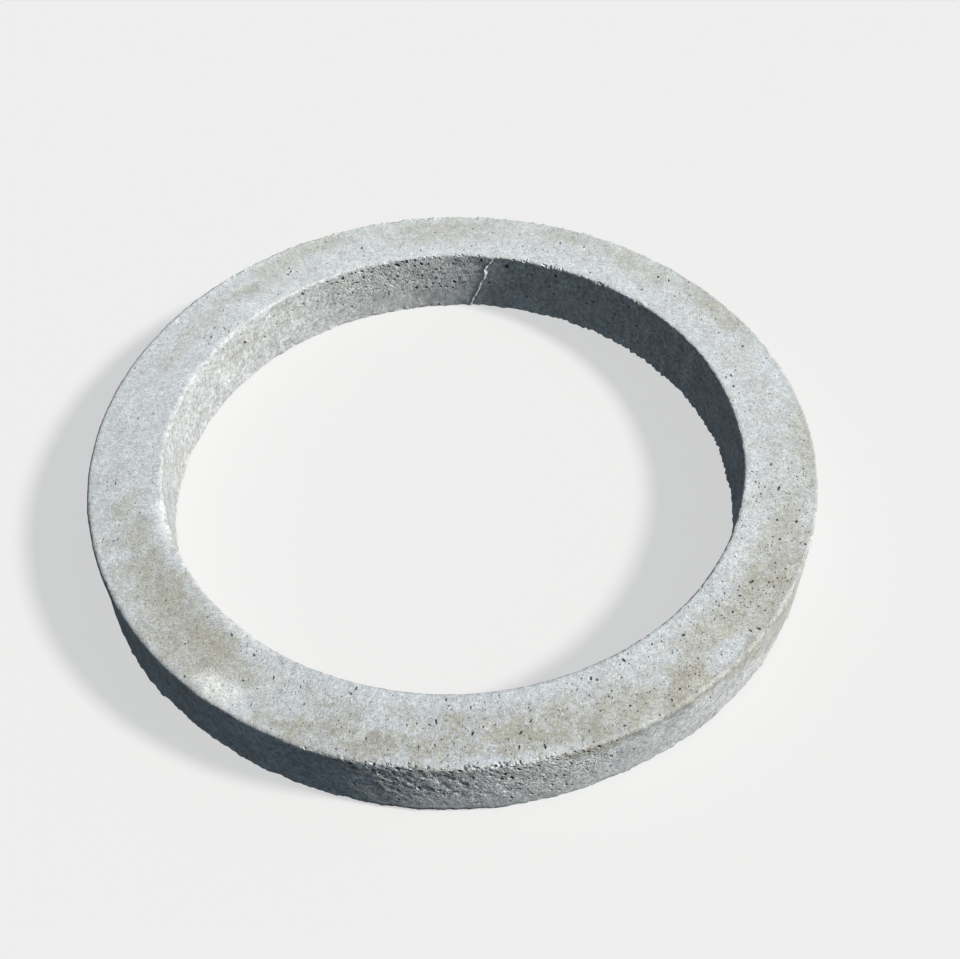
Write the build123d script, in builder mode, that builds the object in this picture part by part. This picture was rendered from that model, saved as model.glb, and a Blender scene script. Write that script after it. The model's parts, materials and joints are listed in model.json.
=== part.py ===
from build123d import *
import os
from math import degrees, radians, tan

# Concrete culvert ring: a short precast ring that raises the top of a culvert shaft.
# The ring lies on its base, with the origin at the centre of the base and +Z up. +X is to
# the right and +Y away from someone who faces the ring. All sizes are in millimetres.

# Driving dimensions of the section
bore_diameter = 600.0
wall_thickness = 75.0
ring_height = 80.0
top_arris_radius = 5.0
base_arris_width = 4.0

# The joint in the bore, where the two ends of the sheet former met
joint_angle = 82.5  # of the joint at half height, counter-clockwise from +X
joint_lean = 20.0  # of the joint line from the vertical, clockwise towards the top
joint_step = 1.5  # how far the free end of the former stood out into the wall
joint_fade_length = 85.0  # along the bore, from the step to where the bore is round again
joint_cut_reach = 20.0  # how far the cutting shape reaches into the open bore

bore_radius = bore_diameter / 2

os.makedirs("parts", exist_ok=True)

with BuildPart() as concrete_ring:
    # The section of the wall, turned about the axis of the ring
    with BuildSketch(Plane.XZ) as section:
        with Locations((bore_radius, 0)):
            Rectangle(wall_thickness, ring_height, align=(Align.MIN, Align.MIN))
        fillet(section.vertices().group_by(Axis.Y)[-1], top_arris_radius)
        chamfer(section.vertices().group_by(Axis.Y)[0], base_arris_width)
    revolve(axis=Axis.Z)

    # The joint step: a sliver of the wall that the sprung end of the former took up. It is
    # deepest at the leaning joint line and runs out tangentially into the round bore.
    joint_sweep = degrees(ring_height * tan(radians(joint_lean)) / bore_radius)
    fade_angle = degrees(joint_fade_length / bore_radius)
    step_point = Vector(bore_radius + joint_step, 0)
    inner_point = Vector(bore_radius - joint_cut_reach, 0)
    fade_point = Vector(bore_radius, 0).rotate(Axis.Z, -fade_angle)
    fade_direction = Vector(0, 1).rotate(Axis.Z, -fade_angle)
    for height, angle in (
        (0, joint_angle + joint_sweep / 2),
        (ring_height, joint_angle - joint_sweep / 2),
    ):
        with BuildSketch(Plane.XY.offset(height).rotated((0, 0, angle))):
            with BuildLine():
                TangentArc(fade_point, step_point, tangent=fade_direction)
                Polyline(step_point, inner_point, fade_point)
            make_face()
    loft(ruled=True, mode=Mode.SUBTRACT)

concrete_ring.part.label = "concrete_ring"
export_step(concrete_ring.part, "parts/concrete_ring.step")
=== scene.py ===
import json
from math import cos, pi, radians, sin, tan, tau

import bpy
import numpy as np
from mathutils import Matrix, Vector, noise
from mathutils.geometry import delaunay_2d_cdt


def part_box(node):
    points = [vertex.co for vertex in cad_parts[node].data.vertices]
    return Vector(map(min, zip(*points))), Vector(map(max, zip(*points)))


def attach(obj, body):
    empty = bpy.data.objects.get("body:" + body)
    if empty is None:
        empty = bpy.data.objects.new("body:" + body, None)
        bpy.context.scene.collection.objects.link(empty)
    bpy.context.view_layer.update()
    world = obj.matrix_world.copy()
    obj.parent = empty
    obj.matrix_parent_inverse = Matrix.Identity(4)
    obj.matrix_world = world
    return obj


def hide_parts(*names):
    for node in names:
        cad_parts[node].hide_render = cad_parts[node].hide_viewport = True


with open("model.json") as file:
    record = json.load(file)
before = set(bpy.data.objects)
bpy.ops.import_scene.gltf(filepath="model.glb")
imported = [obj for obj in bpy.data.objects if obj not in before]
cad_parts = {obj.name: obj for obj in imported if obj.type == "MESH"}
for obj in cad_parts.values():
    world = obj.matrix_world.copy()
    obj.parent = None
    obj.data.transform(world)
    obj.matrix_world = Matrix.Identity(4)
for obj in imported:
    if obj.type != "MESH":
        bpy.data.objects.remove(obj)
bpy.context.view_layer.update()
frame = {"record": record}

# Shapes are worked out in millimetres, and become metres where a mesh is made.
METRE = 1000.0

# The ring's own sizes, from the frame
_, high_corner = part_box("concrete_ring")
OUTER_RADIUS = high_corner[0] * METRE
HEIGHT = high_corner[2] * METRE
BORE_RADIUS = next(m for m in frame["record"]["mounts"] if m["name"] == "bore")["dims"]["r_mm"]
MID_RADIUS = (BORE_RADIUS + OUTER_RADIUS) / 2
LENGTH = tau * MID_RADIUS
TOP_ARRIS = 5.0
BASE_ARRIS = 4.0
BORE_FOOT_ARRIS = 1.5  # the skin fills most of the bevel there

# The shape of the top arrises: a power of 1 is round, and a smaller one turns more tightly
ARRIS_POINTS = 10
BORE_ARRIS_POWER = 0.5
WALL_ARRIS_POWER = 0.7

# The joint of the sheet former in the bore
JOINT_ANGLE = 82.5  # at half height
JOINT_LEAN = 20.0  # of its line from the vertical, clockwise towards the top
JOINT_STEP = 1.5
JOINT_FADE = 85.0  # along the bore, from the step to where the bore is round again
JOINT_KINKS = 3.4  # how far its line wanders to each side, at most
FIN_HEIGHT = 0.9
FIN_RISE = 1.6  # along the bore, up to the joint line
FLANK = 2.4  # from the top of the fin down to the step
PASTE_AND_HIGHLIGHT_END = 9.0  # how far below the top face the pale paste and painted highlight of the joint end

# The mesh: its closest spacing, how far its points are shaken, its sharp edges
FINE = 1.0
SHAKE = 0.27  # of the spacing
SHARP_ANGLE = 40
NORMAL_REACH = 1.2  # ahead and behind, over which the slope of the section is taken

# How the ring is cut for its texture map
SECTORS = 3
MAP_MARGIN = 0.006
BASE_SHARE = 0.4  # of the texture that the hidden base gets, against the other faces

random = np.random.default_rng(7)


# The section of the wall

def section_line():
    """Points (radius, height) round the section: from mid base up the bore, over and down.

    The top arrises turn more tightly than round ones, as superellipses.
    """
    turn = np.radians(np.linspace(0, 90, ARRIS_POINTS))
    sine, cosine = np.sin(turn), np.cos(turn).clip(0)
    inner = np.stack([
        BORE_RADIUS + TOP_ARRIS * (1 - cosine ** BORE_ARRIS_POWER),
        HEIGHT - TOP_ARRIS * (1 - sine ** BORE_ARRIS_POWER),
    ], 1)
    outer = np.stack([
        OUTER_RADIUS - TOP_ARRIS * (1 - sine ** WALL_ARRIS_POWER),
        HEIGHT - TOP_ARRIS * (1 - cosine ** WALL_ARRIS_POWER),
    ], 1)
    return np.vstack([
        (MID_RADIUS, 0),
        (BORE_RADIUS + BORE_FOOT_ARRIS, 0),
        (BORE_RADIUS, BORE_FOOT_ARRIS),
        inner,
        outer,
        (OUTER_RADIUS, BASE_ARRIS),
        (OUTER_RADIUS - BASE_ARRIS, 0),
        (MID_RADIUS, 0),
    ])


section = section_line()
section_length = np.concatenate([[0], np.cumsum(np.hypot(*np.diff(section, axis=0).T))])
GIRTH = section_length[-1]
BASE_EDGE = section_length[1]
BORE_FOOT = section_length[2]
TOP_START = section_length[2 + ARRIS_POINTS]
TOP_END = section_length[3 + ARRIS_POINTS]
WALL_HEAD = section_length[2 + 2 * ARRIS_POINTS]
WALL_FOOT = section_length[3 + 2 * ARRIS_POINTS]


def along(face, place):
    """How far round the section a height on the bore or the wall lies, or a radius on the top."""
    if face == "bore":
        return BORE_FOOT + place - BORE_FOOT_ARRIS
    if face == "top":
        return TOP_START + place - BORE_RADIUS - TOP_ARRIS
    return WALL_HEAD + HEIGHT - TOP_ARRIS - place


def section_at(t):
    """Radius, height and outward normal of the section at the distances t."""
    radii, heights = section.T
    r = np.interp(t, section_length, radii)
    z = np.interp(t, section_length, heights)
    ahead = np.clip(t + NORMAL_REACH, 0, GIRTH)
    behind = np.clip(t - NORMAL_REACH, 0, GIRTH)
    dr = np.interp(ahead, section_length, radii) - np.interp(behind, section_length, radii)
    dz = np.interp(ahead, section_length, heights) - np.interp(behind, section_length, heights)
    size = np.hypot(dr, dz)
    return r, z, -dz / size, dr / size


def wrapped(angle):
    """Angles in degrees, brought to between -180 and 180."""
    return (angle + 180) % 360 - 180


def smooth(x):
    """0 below 0, 1 above 1 and a smooth rise between."""
    x = np.clip(x, 0, 1)
    return x * x * (3 - 2 * x)


# Layers of noise: size of the lumps, seed, octaves
NOISES = {
    "waves": (90.0, 1, 2),
    "upright lumps": (26.0, 2, 3),
    "top lumps": (18.0, 5, 3),
    "fine lumps": (6.0, 6, 3),
    "torn lumps": (11.0, 11, 2),
    "rips": (3.6, 8, 2),
    "foot lumps": (20.0, 9, 3),
    "foot dents": (5.5, 10, 2),
    "foot teeth": (4.6, 14, 2),
    "burrs": (4.5, 13, 2),
    "fin": (7.0, 12, 2),
    "joint kinks": (12.0, 3, 4),
    "small chips": (2.8, 21, 2),
    "wide chips": (11.0, 22, 2),
    "stain outlines": (16.0, 31, 4),
}


def fractal(layer, points):
    """Noise of about -1 to 1 at the points, from the layer of that name."""
    size, seed, octaves = NOISES[layer]
    moved = points / size + np.array([seed * 17.3, seed * 5.1, seed * 11.7])
    return np.array([noise.fractal(p, 1.0, 2.0, octaves) for p in moved.tolist()])


# Marks of the cast surface. Angles are in degrees, counter-clockwise from +X, as seen from above.

# angle, radius, half length in degrees, half width, strength
TOP_STAINS = (
    (197, 334, 8, 20, 0.45),
    (212, 329, 11, 28, 0.85),
    (225, 340, 9.5, 38, 1.0),
    (231.5, 332, 4.5, 13, 0.65),
    (247, 360, 9, 12, 0.55),
    (259, 354, 10, 16, 0.6),
    (268, 330, 9, 12, 0.5),
    (273, 345, 9, 22, 0.5),
    (282, 348, 8, 22, 0.7),
    (293, 358, 12, 24, 0.8),
    (303, 360, 9, 26, 0.9),
    (314, 342, 9, 22, 0.7),
    (326, 354, 12, 26, 0.8),
    (338, 352, 10, 22, 0.55),
    (352, 358, 10, 16, 0.4),
    (0, 364, 9, 12, 0.6),
    (33, 362, 12, 14, 0.7),
    (50, 352, 12, 18, 0.4),
    (63, 360, 9, 14, 0.5),
    (90, 350, 13, 26, 0.5),
    (116, 360, 9, 14, 0.55),
    (126, 354, 8, 14, 0.45),
    (133, 340, 8, 11, 0.55),
    (144, 344, 8, 12, 0.4),
    (154, 338, 9, 9, 0.35),
    (310, 375, 26, 6, 0.8),
    (352, 375, 26, 5, 0.7),
    (30, 375, 26, 5, 0.6),
)
TOP_BLOOMS = (
    (235, 362, 4.8, 13, 1.0),
    (229, 304, 8, 7, 0.7),
    (242, 328, 6, 26, 0.5),
    (256, 306, 16, 13, 0.6),
    (256, 333, 9, 12, 0.5),
    (285, 305, 16, 9, 0.5),
    (298, 322, 9, 12, 0.4),
    (272, 369, 13, 5, 0.8),
    (300.8, 345, 1.8, 10, 0.7),
    (312.3, 362, 4.2, 11, 1.0),
    (305, 331, 3, 9, 0.6),
    (342.5, 366, 3, 8, 0.6),
    (14, 363, 8, 11, 0.8),
    (45, 312, 40, 8, 0.3),
    (95, 308, 40, 6, 0.5),
    (140, 312, 20, 10, 0.35),
    (136, 364, 7, 9, 0.5),
    (152, 362, 10, 12, 0.5),
    (172, 345, 14, 30, 0.4),
)
# The whitest bloom on the top
LIME_PATCHES = (
    (232.8, 361, 4.6, 12, 0.8),
    (229, 303, 8, 6, 0.45),
)
# angle, height, half length in degrees, half height, strength
WALL_STAINS = (
    (292, 75, 13, 10, 0.85),
    (306, 76, 11, 9, 0.95),
    (318, 66, 9, 22, 0.85),
    (329, 50, 10, 40, 1.0),
    (343, 60, 8, 24, 0.6),
    (268, 72, 8, 10, 0.3),
    (20, 60, 14, 18, 0.5),
    (75, 66, 12, 14, 0.5),
    (140, 62, 15, 14, 0.5),
)
WALL_BLOOMS = (
    (337, 62, 3, 16, 0.5),
    (346, 40, 6, 26, 0.6),
    (205, 50, 9, 14, 0.3),
)
BORE_STAINS = (
    (118, 56, 20, 26, 0.2),
    (98, 24, 1.2, 16, 0.5),
    (142, 55, 8, 18, 0.3),
    (240, 60, 14, 16, 0.5),
    (300, 62, 16, 14, 0.5),
)

# How many pores there are round each face, against an even spread: angle, share
TOP_PORES = (
    (0, 1.0), (20, 0.8), (50, 0.8), (75, 1.0), (100, 0.8), (120, 0.7), (150, 0.5), (180, 0.5),
    (210, 0.6), (232, 0.9), (245, 1.5), (270, 1.9), (290, 1.5), (312, 1.7), (330, 2.2), (345, 1.4),
)
BORE_PORES = (
    (0, 1.0), (35, 1.2), (60, 1.3), (84, 0.9), (92, 1.5), (118, 2.1), (135, 1.6), (160, 0.5),
    (180, 0.4), (240, 0.9), (300, 0.9),
)
WALL_PORES = (
    (0, 0.9), (60, 1.0), (120, 1.0), (180, 0.8), (215, 1.0), (240, 1.2), (258, 1.4), (272, 1.5),
    (290, 1.9), (305, 1.2), (325, 0.8),
)
MOST_PORES = 2.2  # the largest share
# Pores scattered over a face: face, shares, from and to height or radius, count
SCATTERED = (
    ("top", TOP_PORES, BORE_RADIUS + 4, OUTER_RADIUS - 2, 1500),
    ("bore", BORE_PORES, 4, HEIGHT - 3, 700),
    ("wall", WALL_PORES, 4, HEIGHT - 3, 700),
)
# Patches torn when the form was drawn off: face, angle, half width in degrees, lowest height, pits
TORN_PATCHES = (
    ("bore", 100, 30, 24, 300),
    ("wall", 271, 24, 14, 420),
    ("wall", 62, 26, 34, 130),
)
TEAR_TURN = 62  # of the tears and pits, in degrees from the way round the ring
TURN_SPREAD = 28  # of the pits, in degrees
TEAR_STRETCH = 1.7  # how many times longer a tear is than it is wide

# Single pores that stand out: face, angle, place, half length, half width, turn, depth
LARGE_PORES = (
    ("bore", 141.6, 54.5, 3.4, 2.2, 60, 3.4),
    ("bore", 101.7, 55.0, 2.6, 1.9, 50, 2.6),
    ("bore", 127.8, 56.0, 3.6, 1.1, 10, 1.8),
    ("bore", 96.0, 51.0, 2.6, 1.3, 80, 2.2),
    ("bore", 106.8, 42.0, 2.3, 1.4, 30, 2.0),
    ("bore", 55.2, 48.0, 3.0, 1.6, 40, 2.2),
    ("bore", 38.0, 55.0, 2.2, 1.4, 0, 2.0),
    ("bore", 54.8, 52.3, 2.8, 1.6, 70, 2.2),
    ("bore", 45.9, 65.7, 2.6, 1.5, 60, 2.0),
    ("bore", 43.3, 44.7, 2.4, 1.7, 20, 2.2),
    ("bore", 49.8, 36.0, 2.0, 1.4, 50, 1.8),
    ("bore", 59.0, 62.5, 2.4, 1.4, 75, 2.0),
    ("bore", 66.2, 49.0, 2.2, 1.5, 40, 2.0),
    ("bore", 70.5, 61.0, 2.4, 1.3, 65, 2.0),
    ("bore", 29.5, 60.0, 2.6, 1.5, 55, 2.2),
    ("bore", 21.7, 48.2, 2.6, 1.6, 30, 2.2),
    ("top", 325.6, 337.0, 3.4, 1.7, 25, 2.8),
    ("top", 324.6, 341.2, 1.6, 1.0, 60, 1.8),
    ("top", 346.8, 335.0, 3.2, 1.5, 10, 2.2),
    ("top", 352.2, 327.0, 2.2, 1.5, 30, 1.8),
    ("top", 233.4, 315.0, 2.4, 1.4, 15, 2.0),
    ("top", 251.6, 313.0, 2.6, 1.1, 20, 1.5),
    ("top", 266.0, 329.0, 3.4, 1.1, 70, 1.8),
    ("top", 265.0, 332.5, 2.2, 1.1, 30, 1.6),
    ("top", 107.9, 335.0, 2.6, 2.0, 80, 2.6),
    ("top", 124.5, 333.5, 2.2, 1.4, 70, 1.8),
    ("top", 144.2, 315.0, 2.0, 1.5, 80, 1.6),
    ("top", 198.3, 364.5, 3.0, 1.2, 70, 1.4),
    ("top", 318.6, 367.5, 3.2, 1.2, 80, 1.8),
    ("top", 281.2, 363.0, 3.2, 1.2, 80, 1.9),
    ("top", 15.6, 316.5, 2.4, 1.0, 0, 1.4),
    ("wall", 279.9, 70.0, 3.2, 1.7, 70, 2.6),
    ("wall", 262.0, 66.0, 3.4, 1.5, 60, 2.4),
    ("wall", 284.5, 60.0, 2.8, 1.5, 60, 2.2),
    ("wall", 307.0, 55.0, 2.6, 1.4, 70, 1.8),
)
# Clusters of larger pits right under the top arrises: face, angle, half width in degrees, count
RIM_PITS = (
    ("bore", 104, 24, 60),
    ("wall", 272, 22, 75),
    ("bore", 68, 14, 8),
)
# Lines of pores across the top, left where the tamping passes met: angle, from and to radius
PORE_LINES = (
    (321.0, 322, 350),
    (317.0, 320, 348),
    (312.5, 318, 340),
    (306.6, 330, 362),
    (325.0, 340, 362),
    (329.0, 352, 366),
)
PORE_SPACING = 3.6  # from pore to pore of a line


def spread(patches, angle, place, ragged):
    """How strongly the patches cover each point of a face, with ragged outlines."""
    cover = np.zeros(len(angle))
    for patch_angle, patch_place, half_angle, half_width, strength in patches:
        x = wrapped(angle - patch_angle) / half_angle
        y = (place - patch_place) / half_width
        cover = np.maximum(cover, strength * smooth(1.35 - np.hypot(x, y) + ragged))
    return cover


def zone(angle, centre, half):
    """1 round the centre angle, falling smoothly to 0 a half width away."""
    return smooth(1.5 * (1 - abs(wrapped(angle - centre)) / half))


# Relief of the surface, in millimetres out of the solid

def joint_offset(angle, z):
    """Distance along the bore from the joint line, to the right of it as seen from the axis."""
    lean = (z - HEIGHT / 2) * tan(radians(JOINT_LEAN))
    kinks = JOINT_KINKS * fractal("joint kinks", np.outer(z, (0, 0, 1)))
    return radians(1) * BORE_RADIUS * wrapped(JOINT_ANGLE - angle) - lean + kinks


def joint_relief(x, proud):
    """Height across the joint: a small fin, its flank, and the step that runs out again."""
    rise = smooth((x + FIN_RISE) / FIN_RISE) * FIN_HEIGHT * proud
    drop = np.clip(x / FLANK, 0, 1)
    fade = np.clip(1 - x / JOINT_FADE, 0, 1) ** 2
    return np.where(x < 0, rise, (1 - drop) * FIN_HEIGHT * proud - drop * JOINT_STEP * fade)


def torn(angle, z, on_bore, on_wall):
    """How strongly the surface is torn at each point."""
    share = np.zeros(len(angle))
    for face, centre, half, low, _ in TORN_PATCHES:
        on_face = on_bore if face == "bore" else on_wall
        share = np.maximum(share, on_face * zone(angle, centre, half) * smooth((z - low) / 22))
    return share


def tear_places(angle, t):
    """Places on the unrolled ring along the tears, drawn together, and across them."""
    s, turn = np.radians(angle) * MID_RADIUS, radians(TEAR_TURN)
    lengthwise = (s * cos(turn) + t * sin(turn)) / TEAR_STRETCH
    return np.stack([lengthwise, t * cos(turn) - s * sin(turn), np.zeros(len(s))], 1)


def relief(angle, t, z, points):
    """Height of the cast surface over the plain ring, and how torn it is."""
    on_bore = smooth((t - BORE_FOOT + 6) / 6) * smooth((TOP_START - 3 - t) / 4)
    on_wall = smooth((t - TOP_END - 3) / 4) * smooth((WALL_FOOT + 6 - t) / 6)
    on_top = smooth((t - TOP_START + 4) / 4) * smooth((TOP_END + 4 - t) / 4)
    showing = z > 0.5

    height = 0.5 * fractal("waves", points)
    height += 0.5 * fractal("upright lumps", points) * (on_bore + on_wall)
    height += 0.3 * fractal("top lumps", points) * on_top
    height += 0.25 * fractal("fine lumps", points)

    # Torn patches
    tearing = torn(angle, z, on_bore, on_wall)
    height += tearing * 0.3 * fractal("torn lumps", points)
    rips = smooth((fractal("rips", tear_places(angle, t)) - 0.02) / 0.35)
    height -= (0.25 + 0.4 * on_wall) * tearing * rips

    # Lumps and dents along the base edges, and a saw edge at the foot of the shaded bore
    foot = smooth(1.2 - z / 12) * (on_wall + on_bore)
    height += foot * (1.0 * fractal("foot lumps", points) + 1.1 * fractal("foot dents", points))
    teeth = on_bore * smooth(1.1 - z / 8) * zone(angle, 32, 62)
    height += 2.4 * fractal("foot teeth", points) * teeth

    # A bulge and a hollow low on the wall, and a hollow high in the bore
    height += 2.2 * on_wall * smooth(1 - z / 40) * zone(angle, 212, 15)
    height -= 1.6 * on_wall * smooth(1 - z / 40) * zone(angle, 295, 9)
    height -= 2.0 * on_bore * zone(angle, 27, 14) * smooth((z - 30) / 40)

    # Burrs that stand up along the outer arris at the back, and a crumb of mortar there
    burrs = smooth((fractal("burrs", points) - 0.16) / 0.2)
    at_arris = smooth(1.4 - abs(t - TOP_END - 2.5) / 2.5)
    height += 1.5 * burrs * at_arris * zone(angle, 95, 75)
    height += 1.2 * at_arris * zone(angle, 97, 1.5)

    # The joint of the former
    x = joint_offset(angle, z)
    proud = np.clip(0.9 + 1.6 * fractal("fin", points), 0.1, 2.0)
    joint = joint_relief(x, proud) * (abs(wrapped(angle - JOINT_ANGLE)) < 30)
    height += joint * smooth((t - BORE_FOOT + 5) / 5) * smooth((TOP_START - 4 - t) / 6)
    return height * showing, tearing


# Chips along the top arrises: how much is cut off the sharp corner, across and down together
BORE_ARRIS_CUT = 1.4
WALL_ARRIS_CUT = 2.1
CHIP_CUT = 3.4  # more, in a chip where the arris is worn most
SPALL_CUT = 7.6
SPALL_ANGLE = 199
SPALL_HALF = 7.5  # in degrees


def broken_arrises(angle, r, z, points):
    """Moves the points of the two top arrises in where chips have come off."""
    fine = fractal("small chips", points)
    wide = fractal("wide chips", points)
    ragged = np.clip(1.0 * fine + 0.9 * wide - 0.1, 0, 1)
    bore_wear = 0.12 + 1.1 * zone(angle, 70, 44) + 0.7 * zone(angle, 112, 24)
    wall_wear = 0.3 + 1.1 * zone(angle, 268, 24) + 0.4 * zone(angle, 60, 60)
    for radius, outward, sound, worn in (
        (BORE_RADIUS, 1, BORE_ARRIS_CUT, bore_wear),
        (OUTER_RADIUS, -1, WALL_ARRIS_CUT, wall_wear),
    ):
        corner = outward * (r - radius) + HEIGHT - z
        near = abs(r - radius) < 4 * TOP_ARRIS
        cut = sound + CHIP_CUT * ragged * worn
        if radius == BORE_RADIUS:
            spall = smooth((SPALL_HALF - abs(wrapped(angle - SPALL_ANGLE))) / 2)
            cut = np.maximum(cut, SPALL_CUT * spall + 0.6 * fine * spall)
        lack = np.where(near, np.clip(cut - corner, 0, None), 0) / 2
        r = r + outward * lack
        z = z - lack
    return r, z


# Pores: their places, rings of points and depths

def share_at(table, angle):
    """The share of pores at the angle, from pairs of angle and share."""
    angles, shares = np.array(table).T
    return np.interp(angle, angles, shares, period=360)


def all_pores():
    """Places and sizes of the pores: rows of s, t, half length, half width, turn and depth."""
    pores = []
    for face, angle, place, long, wide, turn, depth in LARGE_PORES:
        s, t = radians(angle) * MID_RADIUS, along(face, place)
        pores.append((s, t, long, wide, radians(turn), depth))
    for angle, start, end in PORE_LINES:
        for radius in np.arange(start, end, PORE_SPACING):
            size = random.uniform(0.6, 1.15)
            s = radians(angle + random.normal(0, 0.14)) * MID_RADIUS
            t = along("top", radius + random.normal(0, 0.5))
            pores.append((s, t, 1.3 * size, 0.8 * size, random.uniform(0, pi), 1.3 * size))
    for face, centre, half, count in RIM_PITS:
        for _ in range(count):
            angle = centre + half * random.triangular(-1, 0, 1)
            place = HEIGHT - 3.5 - min(random.exponential(9), 36)
            size = 1.4 + min(random.exponential(0.55), 1.7)
            pores.append(pore_of(face, angle, place, size, random.normal(TEAR_TURN, TURN_SPREAD)))
    for face, shares, low, high, count in SCATTERED:
        pores += scattered_pores(face, shares, low, high, count)
    for face, centre, half, low, count in TORN_PATCHES:
        for _ in range(count):
            angle = centre + half * random.triangular(-1, 0, 1)
            place = HEIGHT - 1 - (HEIGHT - low) * random.uniform() ** 1.3
            size = 0.8 + min(random.exponential(0.5), 1.9)
            pores.append(pore_of(face, angle, place, size, random.normal(TEAR_TURN, TURN_SPREAD)))
    return pores


def scattered_pores(face, shares, low, high, count):
    """That many small pores on a face, most where their share is high and high on a wall."""
    pores = []
    while len(pores) < count:
        angle = random.uniform(0, 360)
        place = random.uniform(low, high)
        keep = share_at(shares, angle) / MOST_PORES
        if face != "top":
            keep *= 0.25 + 0.75 * smooth((place - 8) / 45)
        if random.uniform() <= keep:
            size = 0.58 + min(random.exponential(0.25), 1.2)
            pores.append(pore_of(face, angle, place, size, random.uniform(0, 180)))
    return pores


def pore_of(face, angle, place, size, turn):
    """A pore of that size, drawn out by a random share and turned by that many degrees."""
    stretch = random.uniform(1.0, 1.5)
    depth = size * random.uniform(0.9, 1.5)
    s = radians(angle) * MID_RADIUS
    return s, along(face, place), size * stretch, size / stretch ** 0.5, radians(turn), depth


def clear_pores(pores):
    """Leaves out the pores that lie across a cut of the map or run into an earlier pore."""
    kept = []
    taken = np.zeros((len(pores), 3))
    cut_spacing = LENGTH / SECTORS
    for pore in pores:
        s, t, long = pore[:3]
        from_cut = abs((s + cut_spacing / 2) % cut_spacing - cut_spacing / 2)
        if from_cut < 1.5 * long + 2.5 or t < 12 or t > GIRTH - 12:
            continue
        others = taken[:len(kept)]
        gaps = np.hypot(others[:, 0] - s, others[:, 1] - t) - others[:, 2] - long
        if kept and gaps.min() < 0.45:
            continue
        taken[len(kept)] = s, t, long
        kept.append(pore)
    return kept


def pore_rings(pore):
    """Points (s, t) of a pore with their depths: its floor, then its rim and its walls."""
    s, t, long, wide, turn, depth = pore
    if long < 1.05:
        corners, rings = 6, ((1.0, 0.0),)
    elif long < 1.8:
        corners, rings = 7, ((1.0, 0.0), (0.68, 0.78))
    else:
        corners, rings = 12, ((1.0, 0.0), (0.72, 0.8))
    stretch = MID_RADIUS / np.interp(t, section_length, section[:, 0])
    twist, lobe = random.uniform(0, tau, 2)
    points, depths = [(s, t)], [depth]
    for share, sunk in rings:
        for i in range(corners):
            a = tau * (i + 0.5 * (sunk > 0)) / corners
            reach = share * (1 + 0.1 * cos(2 * a + twist) + 0.08 * cos(3 * a + lobe))
            x, y = reach * long * cos(a), reach * wide * sin(a)
            across = x * cos(turn) - y * sin(turn)
            up = x * sin(turn) + y * cos(turn)
            points.append((s + across * stretch, t + up))
            depths.append(sunk * depth)
    return points, depths


# The mesh of the ring

def lattice():
    """Points spread over the unrolled ring: close at the edges and tears, wide on the base."""
    columns = 8 * round(LENGTH / SECTORS / FINE / 8) * SECTORS
    rows = 8 * round(GIRTH / FINE / 8)
    i, j = np.meshgrid(np.arange(columns + 1), np.arange(rows + 1), indexing="ij")
    i, j = i.ravel(), j.ravel()
    s, t = i * LENGTH / columns, j * GIRTH / rows
    angle = np.degrees(s / MID_RADIUS)
    r, z, _, _ = section_at(t)

    # Steps of the closest spacing from point to point
    step = np.full(len(s), 4)
    from_arris = np.minimum(abs(t - TOP_START + TOP_ARRIS), abs(t - TOP_END - TOP_ARRIS))
    step[from_arris < TOP_ARRIS] = 2
    step[torn(angle, z, t < TOP_START, t > TOP_END) > 0.1] = 2
    step[z < 5] = 2
    broken = (zone(angle, 100, 40) > 0) & (t < TOP_START + 1)
    broken |= (zone(angle, 271, 24) > 0) & (t > TOP_END - 1)
    step[broken & (from_arris < TOP_ARRIS)] = 1
    step[z < 0.5] = 8
    keep = (i % step == 0) & (j % step == 0)
    on_cut = (i % (columns // SECTORS) == 0) | (j == 0) | (j == rows)
    shift = np.where(on_cut, 0, SHAKE * step)[:, None] * random.uniform(-1, 1, (len(s), 2))
    shift *= (LENGTH / columns, GIRTH / rows)
    return s[keep] + shift[keep, 0], t[keep] + shift[keep, 1], on_cut[keep]


def joint_rows():
    """Rows of points along the joint, so that its fin and step come out crisp."""
    z = np.arange(BASE_ARRIS + 1, HEIGHT - 2, 1.5)
    rows = []
    for offset in (-2.4, -1.1, 0.0, 1.0, FLANK, 3.2):
        angle = JOINT_ANGLE + np.degrees((joint_offset(JOINT_ANGLE, z) - offset) / BORE_RADIUS)
        rows.append(np.stack([np.radians(angle) * MID_RADIUS, along("bore", z)], 1))
    return np.concatenate(rows)


def ring_points():
    """All points of the unrolled ring with the depth of the pores there."""
    s, t, on_cut = lattice()
    keep = np.ones(len(s), bool)
    rows = joint_rows()
    for row_s, row_t in rows:
        close = (abs(s - row_s) < 1.3) & (abs(t - row_t) < 1.1)
        keep &= ~close | on_cut
    points, depths = [], []
    for pore in clear_pores(all_pores()):
        pore_s, pore_t, long = pore[:3]
        radius = 1.2 * long + 0.5
        near = np.hypot((s - pore_s) / 1.1, t - pore_t) < radius
        keep &= ~near | on_cut
        near_rows = np.hypot(rows[:, 0] - pore_s, rows[:, 1] - pore_t) < radius
        if near_rows.any():
            continue
        ring, sunk = pore_rings(pore)
        points += ring
        depths += sunk
    plain = np.stack([s[keep], t[keep]], 1)
    uv = np.concatenate([plain, rows, points])
    depth = np.concatenate([np.zeros(len(plain) + len(rows)), depths])
    return uv, depth


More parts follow.
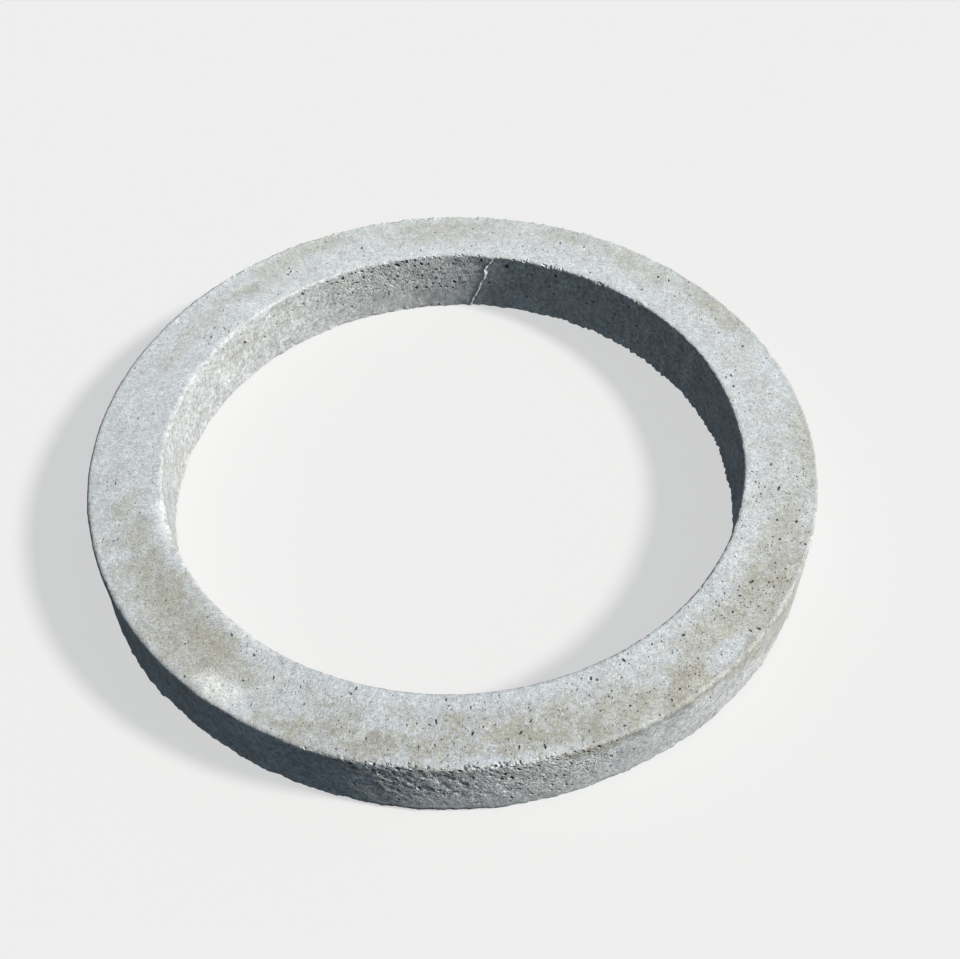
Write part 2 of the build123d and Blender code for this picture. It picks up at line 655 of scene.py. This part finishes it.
def triangles(points):
    """Triangulates the unrolled ring, with the cuts of the map kept as edges."""
    edges = []
    for k in range(SECTORS + 1):
        line = np.flatnonzero(abs(points[:, 0] - k * LENGTH / SECTORS) < 1e-6)
        line = line[np.argsort(points[line, 1])]
        edges += list(zip(line[:-1].tolist(), line[1:].tolist()))
    vectors = [Vector(p) for p in points.tolist()]
    out = delaunay_2d_cdt(vectors, edges, [], 0, 1e-6)
    order = np.array([origin[0] for origin in out[3]])
    return order[np.array(out[2])]


def map_texture(mesh, uv, faces):
    """Lays the sectors of the ring on the texture map as strips, one above the other."""
    base, rest = BASE_EDGE * BASE_SHARE, GIRTH - 2 * BASE_EDGE
    knots = (0, BASE_EDGE, GIRTH - BASE_EDGE, GIRTH)
    widths = (0, base, base + rest, 2 * base + rest)
    across = uv[:, 0] / (LENGTH / SECTORS)
    up = np.interp(uv[:, 1], knots, widths) / widths[-1]
    sector = np.repeat(np.floor(across[faces].mean(1)).astype(int), 3)
    corner = faces.ravel()
    u = MAP_MARGIN + (across[corner] - sector) * (1 - 2 * MAP_MARGIN)
    v = (sector + MAP_MARGIN * SECTORS + up[corner] * (1 - 2 * MAP_MARGIN * SECTORS)) / SECTORS
    layer = mesh.uv_layers.new(name="OFBake")
    layer.data.foreach_set("uv", np.stack([u, v], 1).astype(np.float32).ravel())


def add_attribute(mesh, name, values):
    """A number, or a vector where there are three, for each point of the mesh."""
    kind, field = ("FLOAT", "value") if values.ndim == 1 else ("FLOAT_VECTOR", "vector")
    made = mesh.attributes.new(name, kind, "POINT")
    made.data.foreach_set(field, values.astype(np.float32).ravel())


def stains_and_blooms(angle, r, z, points, on_bore, on_top):
    """How stained, how whitened and how limy each point is."""
    ragged = 0.45 * fractal("stain outlines", points)
    veil = (0.28 + 0.17 * np.cos(np.radians(angle - 280))) * smooth((r - 306) / 26)
    veil *= 1 - 0.6 * zone(angle, 168, 45) - 0.4 * zone(angle, 12, 30)
    top_stain = 1 - (1 - veil) * (1 - spread(TOP_STAINS, angle, r, ragged))
    wall_stain = spread(WALL_STAINS, angle, z, ragged)
    bore_stain = spread(BORE_STAINS, angle, z, ragged)
    stain = np.where(on_top, top_stain, np.where(on_bore, bore_stain, wall_stain))
    top_bloom = spread(TOP_BLOOMS, angle, r, ragged)
    bloom = np.where(on_top, top_bloom, spread(WALL_BLOOMS, angle, z, ragged))
    return stain, bloom, on_top * spread(LIME_PATCHES, angle, r, ragged)


def marks(angle, t, r, z, points, depth, tearing):
    """What the material reads at each point, from 0 to 1, and places along the tears."""
    on_bore, on_wall = t < TOP_START, t > TOP_END
    on_top = (t > TOP_START - 4) & (t < TOP_END + 4)
    stain, bloom, lime = stains_and_blooms(angle, r, z, points, on_bore, on_top)

    # Pale paste and a painted highlight on the joint's fin and lit flank, and painted shade in the
    # recess beside it
    joint = joint_offset(angle, z)
    beside_joint = (t > BORE_FOOT) & (t < TOP_START - PASTE_AND_HIGHLIGHT_END)
    beside_joint &= abs(wrapped(angle - JOINT_ANGLE)) < 10
    paste = beside_joint * smooth((joint + 1.0) / 0.8) * smooth((FLANK + 0.4 - joint) / 0.8)
    # painted shade in the recess right of the joint's flank
    grime = 0.4 * beside_joint * smooth(1 - abs(joint - FLANK - 1.4) / 1.6)

    # Darker on the left of the top and along the outer arris at the right, dirt under that arris at
    # the right front, and painted shade at the foot of the front wall where its contact shadow falls
    at_arris = smooth(1.4 - abs(t - TOP_END - 3) / 4)
    for dirt in (
        0.12 * zone(angle, 222, 105) * on_top,
        0.14 * zone(angle, 350, 90) * at_arris,
        0.13 * on_wall * zone(angle, 298, 20) * smooth((z - 65) / 6),
        # painted shade: the contact shadow along the foot of the front wall
        0.75 * on_wall * zone(angle, 266, 13) * smooth((7.5 - z) / 3),
    ):
        grime = np.maximum(grime, dirt)

    return {
        "stain": stain,
        "bloom": bloom,
        "paste": np.maximum(paste, lime),
        "grime": grime,
        "broken": 0.65 * zone(angle, 262, 38),
        # painted shade inside the pores, less on the top
        "pit": smooth(depth / 2.0) * np.where(on_top, 0.6, 1),
        "tearing": tearing,
        "tear_place": tear_places(angle, t) / METRE,
        "upright": np.where(on_top, 0, 1),
    }


def ring_mesh():
    """The whole cast ring as one closed mesh, with its marks as point attributes."""
    uv, depth = ring_points()
    faces = triangles(uv)[:, ::-1]
    s, t = uv.T
    angle = np.degrees(s / MID_RADIUS) % 360
    r, z, normal_r, normal_z = section_at(t)
    turn = np.radians(angle)
    points = np.stack([r * np.cos(turn), r * np.sin(turn), z], 1)
    height, tearing = relief(angle, t, z, points)
    height -= depth
    r, z = broken_arrises(angle, r, z, points)
    r, z = r + height * normal_r, np.maximum(z + height * normal_z, 0)
    places = np.stack([r * np.cos(turn), r * np.sin(turn), z], 1) / METRE

    mesh = bpy.data.meshes.new("concrete_ring_cast")
    # The last column and row of points are the first ones again
    round_s = np.round(s % LENGTH, 4) % round(LENGTH, 4)
    round_t = np.round(t % GIRTH, 4) % round(GIRTH, 4)
    key = np.stack([round_s, round_t], 1)
    _, first, merged = np.unique(key, axis=0, return_index=True, return_inverse=True)
    mesh.from_pydata(places[first].tolist(), [], merged.ravel()[faces].tolist())
    for name, values in marks(angle, t, r, z, points, depth, tearing).items():
        add_attribute(mesh, name, values[first])
    map_texture(mesh, uv, faces)
    mesh.shade_smooth()
    mesh.set_sharp_from_angle(angle=radians(SHARP_ANGLE))
    mesh.validate()
    return mesh


# Materials

def add(tree, kind, inputs=None, **settings):
    """A node with its settings and its input values or links."""
    made = tree.nodes.new(kind)
    for name, value in settings.items():
        setattr(made, name, value)
    for name, value in (inputs or {}).items():
        if isinstance(value, bpy.types.NodeSocket):
            tree.links.new(value, made.inputs[name])
        else:
            made.inputs[name].default_value = value
    return made


def noise_at(tree, place, size, detail, roughness, distortion=0.0):
    """Noise with lumps of that size in metres."""
    made = add(tree, "ShaderNodeTexNoise", {"Vector": place, "Scale": 1 / size, "Detail": detail})
    made.inputs["Roughness"].default_value = roughness
    made.inputs["Distortion"].default_value = distortion
    return made.outputs["Fac"]


def calc(tree, operation, a, b=0.0, c=0.0, clamp=False):
    """A sum: MULTIPLY_ADD gives a times b plus c."""
    made = add(tree, "ShaderNodeMath", {0: a, 1: b, 2: c}, operation=operation)
    made.use_clamp = clamp
    return made.outputs[0]


def ranged(tree, value, low, high, to_low=0.0, to_high=1.0):
    """The value, taken smoothly from one range to another."""
    inputs = {"Value": value, "From Min": low, "From Max": high, "To Min": to_low, "To Max": to_high}
    made = add(tree, "ShaderNodeMapRange", inputs, interpolation_type="SMOOTHSTEP")
    return made.outputs["Result"]


def blend(tree, share, a, b, kind="MIX"):
    """Colour a, with that share of colour b over it."""
    made = add(tree, "ShaderNodeMix", {"Factor": share}, data_type="RGBA", blend_type=kind)
    for socket, value in ((made.inputs[6], a), (made.inputs[7], b)):
        if isinstance(value, bpy.types.NodeSocket):
            tree.links.new(value, socket)
        else:
            socket.default_value = (*value, 1.0)
    return made.outputs[2]


def mark(tree, name, output="Fac"):
    """What the mesh holds under that name."""
    return add(tree, "ShaderNodeAttribute", attribute_name=name).outputs[output]


def grey(tree, value):
    """A grey of that value."""
    made = add(tree, "ShaderNodeCombineColor", {"Red": value, "Green": value, "Blue": value})
    return made.outputs["Color"]


PALE = (0.500, 0.527, 0.550)
WALL_PALE = (0.460, 0.470, 0.470)
BEIGE = (0.363, 0.359, 0.318)
BLOOM = (0.515, 0.548, 0.575)
# Pale paste and lime, also a painted highlight on the joint's lit fin and flank
PASTE_AND_HIGHLIGHT = (0.66, 0.67, 0.65)
DARK = (0.16, 0.16, 0.15)
# Painted shade inside the pores
PIT_SHADE = (0.07, 0.07, 0.07)
# Dirt, and painted shade at the foot of the front wall and in the recess beside the joint
DIRT_AND_SHADE_COLOUR = (0.0, 0.01, 0.04)

# Sizes of the material's own patterns, in metres
MOTTLE_SIZE = 0.007
CLOUD_SIZE = 0.024
GRAIN_SIZE = 0.0015
SAND_SIZE = 0.0048
TONE_SIZE = 0.021
TEAR_SIZE = 0.0023
ROUGH_SIZE = 0.0026
BUMP_HEIGHT = 0.0008
FINE_SPECK, FINE_SPECK_SPACING = 0.00055, 0.0027
RARE_SPECK, RARE_SPECK_SPACING = 0.0009, 0.0065


def mottled(tree, cover, blotches, broken):
    """A cover of 0 to 1, uneven by blotches, which break up a strong one where broken is high."""
    swing = calc(tree, "SUBTRACT", blotches, 0.5)
    reach = calc(tree, "MULTIPLY_ADD", cover, broken, 0.3)
    return calc(tree, "MULTIPLY_ADD", swing, reach, cover, clamp=True)


def shaded(tree, colour, value, depth):
    """The colour, made lighter and darker by noise that swings round a half."""
    middle = calc(tree, "MULTIPLY_ADD", depth, -0.5, 1.0)
    factor = calc(tree, "MULTIPLY_ADD", value, depth, middle)
    return blend(tree, 1.0, colour, grey(tree, factor), "MULTIPLY")


def specks(tree, place, spacing, radius):
    """Round specks, 1 inside and 0 outside, in half of the cells of that spacing."""
    inputs = {"Vector": place, "Scale": 1 / spacing, "Randomness": 1.0}
    cells = add(tree, "ShaderNodeTexVoronoi", inputs)
    lot = add(tree, "ShaderNodeSeparateColor", {"Color": cells.outputs["Color"]}).outputs["Red"]
    size = ranged(tree, lot, 0.5, 1.0, 0.0, radius / spacing)
    return calc(tree, "LESS_THAN", cells.outputs["Distance"], size)


def stained(tree, place, mottle):
    """The pale skin with its beige stains, its bloom, and the paste and painted highlight of the
    joint.
    """
    clouds = noise_at(tree, place, CLOUD_SIZE, 4.0, 0.6, 0.3)
    mixed = calc(tree, "MULTIPLY_ADD", clouds, 0.45, calc(tree, "MULTIPLY", mottle, 0.55))
    blotches = ranged(tree, mixed, 0.43, 0.57)
    clear = calc(tree, "SUBTRACT", 1.0, blotches)
    broken = mark(tree, "broken")
    colour = blend(tree, mark(tree, "upright"), PALE, WALL_PALE)
    colour = blend(tree, mottled(tree, mark(tree, "stain"), blotches, broken), colour, BEIGE)
    colour = blend(tree, mottled(tree, mark(tree, "bloom"), clear, broken), colour, BLOOM)
    # pale paste and lime, and a painted highlight on the joint's lit flank
    return blend(tree, mark(tree, "paste"), colour, PASTE_AND_HIGHLIGHT)


def grained(tree, colour, place, mottle, grain):
    """The colour with sand grain and uneven tone, stronger on the upright faces."""
    upright = mark(tree, "upright")
    sand = noise_at(tree, place, SAND_SIZE, 3.0, 0.6)
    tone = noise_at(tree, place, TONE_SIZE, 3.0, 0.6)
    colour = shaded(tree, colour, grain, 2.0)
    for value, more_upright, flat in ((sand, 0.9, 0.8), (mottle, 0.3, 0.25), (tone, 0.5, 0.3)):
        depth = calc(tree, "MULTIPLY_ADD", upright, more_upright, flat)
        colour = shaded(tree, colour, value, depth)
    return colour


def darkened(tree, colour, place, rare_specks, hollow):
    """The colour with painted shade in the specks and pores, darker in the hollows of the tears, and
    dirt and painted shade where its mark is high. Torn concrete is a little paler.
    """
    fine_specks = specks(tree, place, FINE_SPECK_SPACING, FINE_SPECK)
    for cover, share, dark in (
        # painted shade in the pinholes that the specks stand for
        (fine_specks, 0.38, DARK),
        (rare_specks, 0.6, DARK),
        # painted shade inside the pores
        (mark(tree, "pit"), 0.8, PIT_SHADE),
        (hollow, 0.12, DARK),
    ):
        colour = blend(tree, calc(tree, "MULTIPLY", cover, share), colour, dark)
    fresh = calc(tree, "MULTIPLY_ADD", mark(tree, "tearing"), 0.13, 1.0)
    colour = blend(tree, 1.0, colour, grey(tree, fresh), "MULTIPLY")
    # dirt, and painted shade at the foot of the front wall and beside the joint
    return blend(tree, mark(tree, "grime"), colour, DIRT_AND_SHADE_COLOUR)


def fine_relief(tree, place, grain, rare_specks, hollow):
    """The normal of the rough skin: coarser where it is torn, with small holes."""
    rough = noise_at(tree, place, ROUGH_SIZE, 4.0, 0.65)
    roughness = calc(tree, "MULTIPLY_ADD", mark(tree, "tearing"), 0.6, 0.7)
    height = calc(tree, "MULTIPLY", rough, roughness)
    for value, share in ((hollow, -0.75), (grain, 0.25), (rare_specks, -0.6)):
        height = calc(tree, "MULTIPLY_ADD", value, share, height)
    inputs = {"Strength": 1.0, "Distance": BUMP_HEIGHT, "Height": height}
    return add(tree, "ShaderNodeBump", inputs).outputs["Normal"]


def concrete():
    """Cast concrete: bluish pale skin, beige stains, lime bloom, sand grain and pinholes."""
    material = bpy.data.materials.new("cast_concrete")
    material.use_nodes = True
    tree = material.node_tree
    shader = tree.nodes["Principled BSDF"]
    place = add(tree, "ShaderNodeTexCoord").outputs["Object"]
    mottle = noise_at(tree, place, MOTTLE_SIZE, 6.0, 0.7, 0.4)
    grain = noise_at(tree, place, GRAIN_SIZE, 3.0, 0.75)
    rare_specks = specks(tree, place, RARE_SPECK_SPACING, RARE_SPECK)
    tear_noise = noise_at(tree, mark(tree, "tear_place", "Vector"), TEAR_SIZE, 3.0, 0.6)
    between_tears = calc(tree, "SUBTRACT", 1.0, ranged(tree, tear_noise, 0.40, 0.54))
    hollow = calc(tree, "MULTIPLY", between_tears, mark(tree, "tearing"))

    colour = stained(tree, place, mottle)
    colour = grained(tree, colour, place, mottle, grain)
    colour = darkened(tree, colour, place, rare_specks, hollow)
    tree.links.new(colour, shader.inputs["Base Color"])
    tree.links.new(ranged(tree, mottle, 0.3, 0.7, 0.72, 0.88), shader.inputs["Roughness"])
    normal = fine_relief(tree, place, grain, rare_specks, hollow)
    tree.links.new(normal, shader.inputs["Normal"])
    shader.inputs["Specular IOR Level"].default_value = 0.5
    return material


def plain(name, colour, glow):
    """A material for the stage, of one colour with an even glow of its own."""
    material = bpy.data.materials.new(name)
    material.use_nodes = True
    shader = material.node_tree.nodes["Principled BSDF"]
    shader.inputs["Base Color"].default_value = (*colour, 1.0)
    shader.inputs["Roughness"].default_value = 1.0
    shader.inputs["Specular IOR Level"].default_value = 0.0
    shader.inputs["Emission Color"].default_value = (1.0, 1.0, 1.0, 1.0)
    shader.inputs["Emission Strength"].default_value = glow
    return material


# The studio

# The camera stands on the -Y side and looks down on the ring. Angles are in degrees.
CAMERA_DISTANCE = 1.3846  # in metres, from the origin
CAMERA_ELEVATION = 50.136
CAMERA_PAN = 1.782  # to the right of +Y
CAMERA_TILT = 49.630  # below the level
CAMERA_ROLL = -0.466
LENS = 47.64  # in millimetres
SENSOR_WIDTH = 36.0  # in millimetres

# The light comes from the right, as the photo's sun does, and the fill is blue as its sky
KEY_AZIMUTH = -13.5
KEY_ELEVATION = 40.5
KEY_STRENGTH = 5.7
KEY_COLOUR = (1.0, 0.975, 0.93)
KEY_SIZE = 9.0  # the angle that the sun fills, which softens the shadow
FILL_COLOUR = (0.65, 0.825, 0.99)
FILL_STRENGTH = 0.165
FILL_SLOPE = 0.07  # how much stronger the fill is from its bright side
FILL_SIDE = Vector((0.95, -0.22, 0.22))
FLOOR_COLOUR = (0.20, 0.20, 0.20)
FLOOR_SIZE = 28
FLOOR_GLOW = 0.60
BACKDROP_RADIUS = 13
BACKDROP_GLOW = 0.86


def make_camera():
    """The camera at the photo's place and angle."""
    data = bpy.data.cameras.new("camera")
    data.lens = LENS
    data.sensor_width = SENSOR_WIDTH
    camera = bpy.data.objects.new("camera", data)
    pan, tilt, roll = radians(CAMERA_PAN), radians(CAMERA_TILT), radians(CAMERA_ROLL)
    forward = Vector((sin(pan) * cos(tilt), cos(pan) * cos(tilt), -sin(tilt)))
    right = Vector((cos(pan), -sin(pan), 0))
    up = right.cross(forward)
    x = cos(roll) * right + sin(roll) * up
    y = cos(roll) * up - sin(roll) * right
    elevation = radians(CAMERA_ELEVATION)
    place = CAMERA_DISTANCE * Vector((0, -cos(elevation), sin(elevation)))
    rotation = Matrix((x, y, -forward)).transposed().to_4x4()
    camera.matrix_world = Matrix.Translation(place) @ rotation
    bpy.context.collection.objects.link(camera)
    bpy.context.scene.camera = camera


def make_stage():
    """A pale floor and a pale dome, which the camera sees and which don't light the ring."""
    bpy.ops.mesh.primitive_plane_add(size=FLOOR_SIZE)
    floor = bpy.context.object
    floor.name = "floor"
    floor.data.materials.append(plain("floor", FLOOR_COLOUR, FLOOR_GLOW))
    bpy.ops.mesh.primitive_uv_sphere_add(radius=BACKDROP_RADIUS, segments=96, ring_count=48)
    backdrop = bpy.context.object
    backdrop.name = "backdrop"
    backdrop.data.materials.append(plain("backdrop", (0, 0, 0), BACKDROP_GLOW))
    backdrop.visible_shadow = False
    for piece in (floor, backdrop):
        piece.visible_diffuse = False
        piece.visible_glossy = False


def make_lights():
    """A sun with a soft-edged shadow, and a fill that is a little stronger from one side."""
    key = bpy.data.objects.new("key", bpy.data.lights.new("key", "SUN"))
    key.data.energy = KEY_STRENGTH
    key.data.color = KEY_COLOUR
    key.data.angle = radians(KEY_SIZE)
    azimuth, elevation = radians(KEY_AZIMUTH), radians(KEY_ELEVATION)
    level = cos(elevation)
    towards = Vector((level * cos(azimuth), level * sin(azimuth), sin(elevation)))
    key.rotation_euler = towards.to_track_quat("Z", "Y").to_euler()
    bpy.context.collection.objects.link(key)

    world = bpy.data.worlds.new("fill")
    world.use_nodes = True
    tree = world.node_tree
    background = tree.nodes["Background"]
    background.inputs["Color"].default_value = (*FILL_COLOUR, 1.0)
    direction = add(tree, "ShaderNodeTexCoord").outputs["Generated"]
    side = add(tree, "ShaderNodeVectorMath", {0: direction, 1: FILL_SIDE}, operation="DOT_PRODUCT")
    towards_fill = side.outputs["Value"]
    strength = calc(tree, "MULTIPLY_ADD", towards_fill, FILL_SLOPE, FILL_STRENGTH, clamp=True)
    tree.links.new(strength, background.inputs["Strength"])
    bpy.context.scene.world = world
    bpy.context.scene.view_settings.view_transform = "Standard"


make_camera()
make_stage()
make_lights()

ring = bpy.data.objects.new("concrete_ring_cast", ring_mesh())
bpy.context.collection.objects.link(ring)
ring.data.materials.append(concrete())
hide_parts("concrete_ring")
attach(ring, "root")
